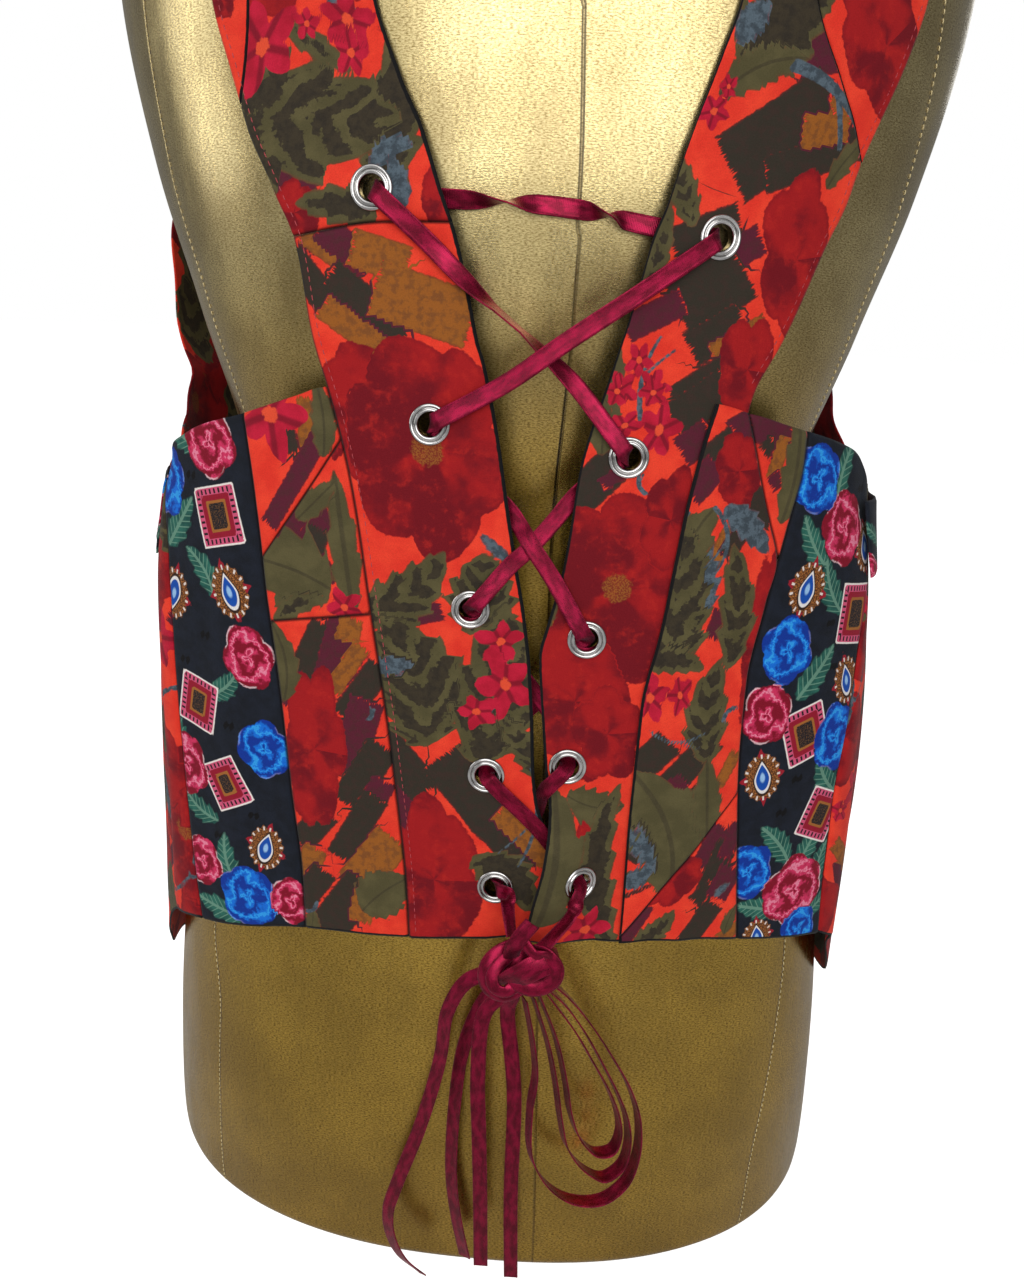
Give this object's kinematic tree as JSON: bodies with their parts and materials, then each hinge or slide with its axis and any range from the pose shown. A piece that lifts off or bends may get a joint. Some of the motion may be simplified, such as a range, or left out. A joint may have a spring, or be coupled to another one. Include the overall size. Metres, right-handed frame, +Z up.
{
  "type": "laced halter vest top on a limbless dress form",
  "caption": "Sleeveless patchwork vest laced down a deep V front through metal eyelets, with a back belt, standing on a limbless dress form.",
  "frame": {"origin": "middle of the dress form's flat base, on the surface it stands on", "axes": "+Z up, -Y towards the front, +X to the right of someone looking at the front"},
  "size_m": [0.3469, 0.2617, 0.755],
  "materials": {
    "gold": "grained metallic gold leathercloth, satin",
    "scarlet_print": "printed cotton, matt, scarlet with dark olive",
    "navy_print": "printed cotton, matt, navy with flowers",
    "satin": "satin ribbon, dark crimson",
    "steel": "polished nickel"
  },
  "bodies": {
    "root": {"form": "gold", "band_left_lower": "scarlet_print", "band_left_upper": "scarlet_print", "strap_left": "scarlet_print", "band_right": "scarlet_print", "strap_right": "scarlet_print", "front_left_lower": "scarlet_print", "front_left_middle": "scarlet_print", "front_left_upper": "scarlet_print", "side_left": "navy_print", "front_right": "scarlet_print", "front_right_corner": "scarlet_print", "front_right_wedge": "scarlet_print", "side_right": "navy_print", "back": "scarlet_print", "back_belt": "navy_print", "eyelet_left_1": "steel", "eyelet_left_2": "steel", "eyelet_left_3": "steel", "eyelet_left_4": "steel", "eyelet_left_5": "steel", "eyelet_right_1": "steel", "eyelet_right_2": "steel", "eyelet_right_3": "steel", "eyelet_right_4": "steel", "eyelet_right_5": "steel", "lace": "satin", "knot": "satin", "tail_1": "satin", "tail_2": "satin", "tail_3": "satin", "tail_4": "satin", "loop_1": "satin", "loop_2": "satin", "loop_3": "satin"}
  },
  "joints": []
}
